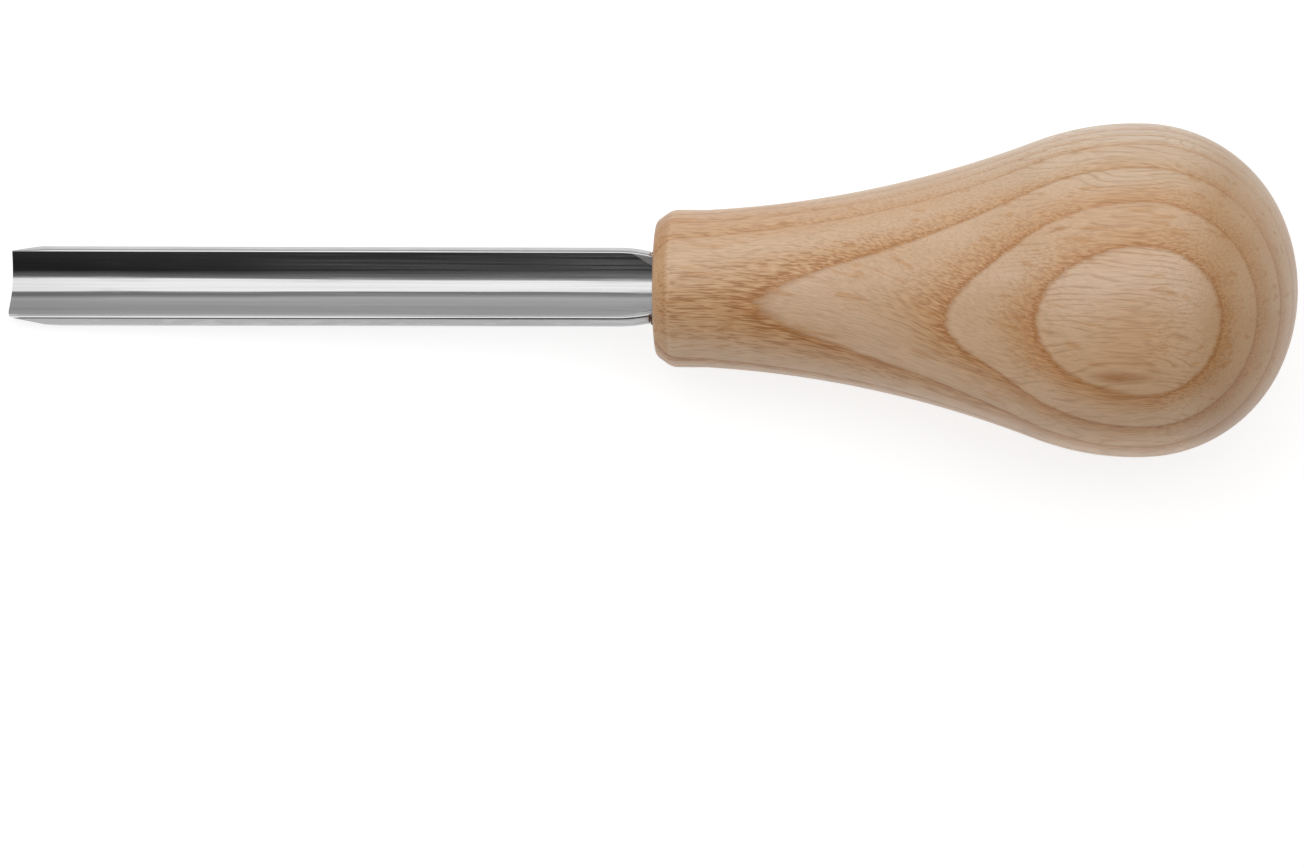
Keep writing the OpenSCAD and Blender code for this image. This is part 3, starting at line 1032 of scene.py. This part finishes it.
def bead_tree():
    """Runs an uneven round bead along a path."""
    inputs = {"Bead Radius": "Float", **dict.fromkeys(BEAD_SHAPE, "Float"), "Finish": "Material"}
    tree, nodes, given = new_tree("Bead Of Glue", inputs)
    path = nodes.add("GeometryNodeMeshToCurve", {"Mesh": given["Geometry"]})
    feeds = {"Curve": path.outputs[0], "Length": given["Spacing"]}
    even = nodes.add("GeometryNodeResampleCurve", feeds, mode="LENGTH")
    feeds = {"Resolution": BEAD_STEPS, "Radius": given["Bead Radius"]}
    circle = nodes.add("GeometryNodeCurvePrimitiveCircle", feeds)
    along = nodes.add("GeometryNodeSplineParameter").outputs["Factor"]
    swollen = nodes.times(
        nodes.spread(along, *BEAD_START, given["Thin Start"], 1.0),
        nodes.spread(along, *BEAD_END, 1.0, given["Heavy End"]),
    )
    feeds = {"Curve": even.outputs[0], "Profile Curve": circle.outputs[0], "Scale": swollen}
    bead = nodes.add("GeometryNodeCurveToMesh", {**feeds, "Fill Caps": True})
    feeds = {"W": given["Seed"], "Scale": LUMPS_PER_MM, "Detail": 1.0}
    lumps = nodes.add("ShaderNodeTexNoise", feeds, noise_dimensions="4D")
    swell = nodes.swayed(0.0, lumps.outputs[0], given["Unevenness"])
    feeds = {0: nodes.add("GeometryNodeInputNormal").outputs[0], "Scale": swell}
    shift = nodes.add("ShaderNodeVectorMath", feeds, operation="SCALE")
    feeds = {"Geometry": bead.outputs[0], "Offset": shift.outputs[0]}
    uneven = nodes.add("GeometryNodeSetPosition", feeds)
    close_tree(nodes, uneven.outputs[0], given["Finish"])
    return tree


# Stage

# The floor's paint and its own glow: as it lights the tool, and as it is seen
FLOOR_LIT = (0.85, 0.25)
FLOOR_SEEN = (0.3, 0.82)
FLOOR_REACH = 4.0
# Light of the tent against the angle from overhead, in degrees, negative on the key side
TENT_LIGHT = (
    (-90, 0.52), (-65, 0.47), (-58, 0.465), (-53, 0.53), (-44, 0.55), (-34.5, 0.65), (-30, 0.41),
    (-27, 0.27), (-20.0, 0.27), (-18.5, 1.47), (6.7, 1.47), (8.2, 0.28), (27, 0.025), (82, 0.01),
    (90, 1.47),
)
# Stretches of the tent along X, in metres, that the flute mirrors from its cutting edge to the handle
KEY_STRETCH = (-0.24, -0.16)
DARK_STRETCH = (-0.225, -0.152)
# Along them, angles on the key side count for this share at first and in full at last, and angles on the
# dark side move by these degrees, which fades out between these angles
KEY_SHARE = 0.72
DARK_MOVES = (-2.2, 3.0)
DARK_EDGE = (9, 22)
# The tent well past the cutting edge, and how much paler it is there and over the handle
FAR_END = (-0.3, -0.42)
FAR_HAZE, NEAR_HAZE = 0.12, 0.022
# The arch of the tent, in degrees either side of overhead
TENT_ARCH = 89
TENT_STEPS = 90
# The soft lamp stands on the key side, in metres
FILL_PLACE = (-0.05, 0.11, 0.55)
FILL_SIZE = 0.5
# The camera's sensor in millimetres, and the nearest and the farthest that it sees in metres
SENSOR = 36
NEAREST, FARTHEST = 0.05, 20


def bare_nodes(owner):
    """A node helper for a material or a world, with its own nodes cleared away."""
    owner.use_nodes = True
    owner.node_tree.nodes.clear()
    return Nodes(owner.node_tree)


def close_seen(nodes, kind, lighting, seen):
    """Ends a tree with one shader for light, and one for what the camera and reflections see."""
    rays = nodes.add("ShaderNodeLightPath").outputs
    direct = nodes.maths("MAXIMUM", rays["Is Camera Ray"], rays["Is Glossy Ray"])
    share = nodes.maths("MAXIMUM", direct, rays["Is Transmission Ray"])
    mixed = nodes.add("ShaderNodeMixShader", {0: share, 1: lighting, 2: seen})
    nodes.add(kind, {"Surface": mixed.outputs[0]})


def glowing_paint(nodes, grey, glow):
    """Matt grey paint that glows."""
    matt = nodes.add("ShaderNodeBsdfDiffuse", {"Color": [grey] * 3})
    light = nodes.add("ShaderNodeEmission", {"Strength": glow})
    return nodes.add("ShaderNodeAddShader", {0: matt.outputs[0], 1: light.outputs[0]}).outputs[0]


def floor_sheet():
    """A wide level floor under the tool, which is seen as white with the tool's soft shadow on it."""
    paint = bpy.data.materials.new("pale_floor")
    nodes = bare_nodes(paint)
    lighting, seen = glowing_paint(nodes, *FLOOR_LIT), glowing_paint(nodes, *FLOOR_SEEN)
    close_seen(nodes, "ShaderNodeOutputMaterial", lighting, seen)
    mesh = bpy.data.meshes.new("floor")
    mesh.from_pydata([(x * FLOOR_REACH, y * FLOOR_REACH, 0) for x, y in SQUARE], [], [(0, 1, 2, 3)])
    mesh.materials.append(paint)
    return mesh_piece("floor", mesh)


def studio_world(stage):
    """A white world for the camera and for reflections, and plain light from the ends of the tent."""
    world = bpy.data.worlds.new("studio")
    nodes = bare_nodes(world)
    lighting, seen = (
        nodes.add("ShaderNodeBackground", {"Color": (1, 1, 1), "Strength": strength}).outputs[0]
        for strength in (stage.end_light, 1.0)
    )
    close_seen(nodes, "ShaderNodeOutputWorld", lighting, seen)
    return world


def tent_cloth(stage):
    """Cloth of the tent: a bright strip overhead, a pale key side, and a black side with a bright foot."""
    cloth = bpy.data.materials.new("light_tent")
    nodes = bare_nodes(cloth)
    parts = nodes.parts(nodes.add("ShaderNodeTexCoord").outputs["Object"])
    angle = nodes.maths("ARCTAN2", nodes.times(parts["Y"], -1.0), parts["Z"])
    # The bright strip is wider, on both sides, where the cutting edge mirrors it than at the handle
    widened = nodes.spread(parts["X"], *KEY_STRETCH, KEY_SHARE, 1.0, smooth=False)
    key_side = nodes.times(nodes.maths("MINIMUM", angle, 0.0), widened)
    dark_side = nodes.maths("MAXIMUM", angle, 0.0)
    by_edge = nodes.spread(dark_side, *map(math.radians, DARK_EDGE), 1.0, 0.0)
    moved = nodes.spread(parts["X"], *DARK_STRETCH, *map(math.radians, DARK_MOVES), smooth=False)
    dark_side = nodes.maths("MULTIPLY_ADD", by_edge, moved, dark_side)
    angle = nodes.maths("ADD", key_side, dark_side)
    share = nodes.spread(angle, -math.pi / 2, math.pi / 2, smooth=False)
    ramp = nodes.add("ShaderNodeValToRGB", {0: share})
    # The ramp has a stop of its own at each end, and the others go in between
    stops = ramp.color_ramp.elements
    for degrees, _ in TENT_LIGHT[1:-1]:
        stops.new((degrees + 90) / 180)
    brightest = max(light for _, light in TENT_LIGHT)
    for stop, (_, light) in zip(stops, TENT_LIGHT):
        stop.color = full_colour([light / brightest] * 3)
    haze = nodes.spread(parts["X"], *KEY_STRETCH, 0.0, NEAR_HAZE)
    haze = nodes.maths("ADD", haze, nodes.spread(parts["X"], *FAR_END, 0.0, FAR_HAZE))
    lit = nodes.maths("ADD", ramp.outputs[0], haze)
    glow = nodes.add("ShaderNodeEmission", {"Color": lit, "Strength": stage.tent_light})
    nodes.add("ShaderNodeOutputMaterial", {"Surface": glow.outputs[0]})
    return cloth


def light_tent(stage):
    """An arch of cloth over the tool that the camera looks through."""
    half = stage.tent_length / 2
    points = []
    for step in range(TENT_STEPS + 1):
        angle = math.radians(-TENT_ARCH + 2 * TENT_ARCH * step / TENT_STEPS)
        out, up = -stage.tent_radius * math.sin(angle), stage.tent_radius * math.cos(angle)
        points += [(end, out, up) for end in (-half, half)]
    faces = [(2 * i, 2 * i + 1, 2 * i + 3, 2 * i + 2) for i in range(TENT_STEPS)]
    mesh = bpy.data.meshes.new("light_tent")
    mesh.from_pydata(points, [], faces)
    mesh.materials.append(tent_cloth(stage))
    tent = mesh_piece("light_tent", mesh)
    tent.visible_camera = False
    return tent


def fill_lamp(stage):
    """A broad soft lamp overhead that is kept out of reflections."""
    lamp = bpy.data.lights.new("fill_lamp", "AREA")
    lamp.shape = "SQUARE"
    lamp.size = FILL_SIZE
    lamp.energy = stage.fill_power
    fill = bpy.data.objects.new("fill_lamp", lamp)
    bpy.context.scene.collection.objects.link(fill)
    place = Vector(FILL_PLACE)
    fill.matrix_world = Matrix.Translation(place) @ place.to_track_quat("Z", "Y").to_matrix().to_4x4()
    fill.visible_camera = False
    fill.visible_glossy = False


def set_camera(stage):
    """A long lens almost straight above the flute."""
    turn = TOOL.to_3x3()
    tilt, roll, spin = stage.view_tilt, stage.view_roll, stage.view_turn
    back = turn @ Vector(
        (math.sin(tilt), -math.sin(roll) * math.cos(tilt), math.cos(roll) * math.cos(tilt))
    )
    along = turn @ Vector((1, 0, 0))
    right = (along - along.dot(back) * back).normalized()
    up = back.cross(right)
    right, up = (
        right * math.cos(spin) + up * math.sin(spin),
        up * math.cos(spin) - right * math.sin(spin),
    )
    dot = MM / stage.dots_per_mm
    off_right = (stage.face_in_picture[0] - IMAGE[0] / 2) * dot
    off_up = (IMAGE[1] / 2 - stage.face_in_picture[1]) * dot
    target = TOOL.translation - right * off_right - up * off_up
    lens = bpy.data.cameras.new("camera")
    lens.sensor_width = SENSOR
    lens.lens = SENSOR * stage.view_distance / (IMAGE[0] * dot)
    lens.clip_start, lens.clip_end = NEAREST, FARTHEST
    camera = bpy.data.objects.new("camera", lens)
    bpy.context.scene.collection.objects.link(camera)
    facing = Matrix((right, up, back)).transposed().to_4x4()
    camera.matrix_world = Matrix.Translation(target + back * stage.view_distance) @ facing
    bpy.context.scene.camera = camera


# Operators


class GOUGE_OT_turn_handle(bpy.types.Operator):
    """Turn the ash handle with its tang hole"""

    bl_idname = "gouge.turn_handle"
    bl_label = "Turn Handle"
    bl_options = {"REGISTER", "UNDO"}

    def execute(self, context):
        sizes = context.scene.gouge_handle
        wood = ash_wood(sizes)
        outline = [(point.y, point.x, 0) for point in handle_outline(sizes)]
        piece = mesh_piece("turned_handle", outline_mesh("turned_handle", outline))
        values = {"Steps Around": sizes.steps_around, "Pole Gap": POLE_GAP, "Finish": wood}
        run_tree(piece, lathe_tree(), values)
        finish_mesh(piece.data, HANDLE_CREASE)
        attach(piece, BODY)
        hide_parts("handle")
        return {"FINISHED"}


class GOUGE_OT_grind_blade(bpy.types.Operator):
    """Grind the fluted blade with its bevel, heel and tang"""

    bl_idname = "gouge.grind_blade"
    bl_label = "Grind Blade"
    bl_options = {"REGISTER", "UNDO"}

    def execute(self, context):
        sizes = context.scene.gouge_blade
        piece = mesh_piece("fluted_blade", lofted("fluted_blade", blade_rings(sizes)))
        tang_rings = [
            [Vector((along, side * size[0] / 2 / MM, rise * size[1] / 2 / MM)) for side, rise in SQUARE]
            for along, size in ((0, sizes.tang_root), (sizes.tang_length / MM, sizes.tang_tip))
        ]
        tang = mesh_piece("tang", lofted("tang", tang_rings))
        joined = piece.modifiers.new("tang", "BOOLEAN")
        joined.operation = "UNION"
        joined.solver = "EXACT"
        joined.object = tang
        settle(piece)
        bpy.data.objects.remove(tang)
        finish_mesh(piece.data, BLADE_CREASE)
        piece.data.materials.clear()
        piece.data.materials.append(polished_steel(sizes))
        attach(piece, BODY)
        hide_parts("blade")
        return {"FINISHED"}


class GOUGE_OT_lay_glue(bpy.types.Operator):
    """Lay the bead of glue round the heel of the blade and coat the glue in the tang hole"""

    bl_idname = "gouge.lay_glue"
    bl_label = "Lay Glue"
    bl_options = {"REGISTER", "UNDO"}

    def execute(self, context):
        sizes = context.scene.gouge_glue
        glue = dried_glue(sizes)
        heel = blade_rings(context.scene.gouge_blade)[-1]
        top = sizes.bead_top / MM
        # The path starts on the upper side of the blade, runs under it and climbs its low side
        upper = [point for point in heel if point.z < top and point.y > 0]
        start = max(upper, key=lambda point: (point.y, point.z))
        path = [
            point + Vector((-sizes.bead_set / MM, math.copysign(sizes.bead_out / MM, point.y), 0))
            for point in heel[heel.index(start):]
            if point.z < top and (abs(point.y) > BEAD_SIDE * start.y or point.z < BEAD_UNDER)
        ]
        piece = mesh_piece("glue_bead", outline_mesh("glue_bead", path))
        values = {"Bead Radius": sizes.bead_radius / MM, **BEAD_SHAPE, "Finish": glue}
        run_tree(piece, bead_tree(), values)
        finish_mesh(piece.data, GLUE_CREASE)
        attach(piece, BODY)
        filling = frame["nodes"]["tang_glue"]
        filling.data.materials.clear()
        filling.data.materials.append(glue)
        return {"FINISHED"}


class GOUGE_OT_set_stage(bpy.types.Operator):
    """Set up the floor, the light and the camera"""

    bl_idname = "gouge.set_stage"
    bl_label = "Set Stage"
    bl_options = {"REGISTER", "UNDO"}

    def execute(self, context):
        stage = context.scene.gouge_stage
        floor_sheet()
        light_tent(stage)
        fill_lamp(stage)
        context.scene.world = studio_world(stage)
        context.scene.view_settings.view_transform = "Standard"
        set_camera(stage)
        return {"FINISHED"}


class GOUGE_PT_build(bpy.types.Panel):
    """Lists the steps that build the palm gouge"""

    bl_idname = "GOUGE_PT_build"
    bl_label = "Palm Gouge"
    bl_space_type = "VIEW_3D"
    bl_region_type = "UI"
    bl_category = "Palm Gouge"

    def draw(self, context):
        for operator in OPERATORS:
            self.layout.operator(operator.bl_idname)
        for group in GROUPS:
            settings = getattr(context.scene, group)
            box = self.layout.box()
            for name in settings.__annotations__:
                box.prop(settings, name)


GROUPS = {
    "gouge_handle": GougeHandle,
    "gouge_blade": GougeBlade,
    "gouge_glue": GougeGlue,
    "gouge_stage": GougeStage,
}
OPERATORS = (GOUGE_OT_turn_handle, GOUGE_OT_grind_blade, GOUGE_OT_lay_glue, GOUGE_OT_set_stage)


def register():
    """Adds the sizes, the operators and the panel to Blender."""
    for group, kind in GROUPS.items():
        bpy.utils.register_class(kind)
        setattr(bpy.types.Scene, group, PointerProperty(type=kind))
    for operator in OPERATORS:
        bpy.utils.register_class(operator)
    bpy.utils.register_class(GOUGE_PT_build)


def unregister():
    """Takes the panel, the operators and the sizes out again."""
    bpy.utils.unregister_class(GOUGE_PT_build)
    for operator in reversed(OPERATORS):
        bpy.utils.unregister_class(operator)
    for group, kind in reversed(GROUPS.items()):
        delattr(bpy.types.Scene, group)
        bpy.utils.unregister_class(kind)


def main():
    """Builds the palm gouge."""
    register()
    bpy.ops.gouge.turn_handle()
    bpy.ops.gouge.grind_blade()
    bpy.ops.gouge.lay_glue()
    bpy.ops.gouge.set_stage()


if __name__ == "__main__":
    main()
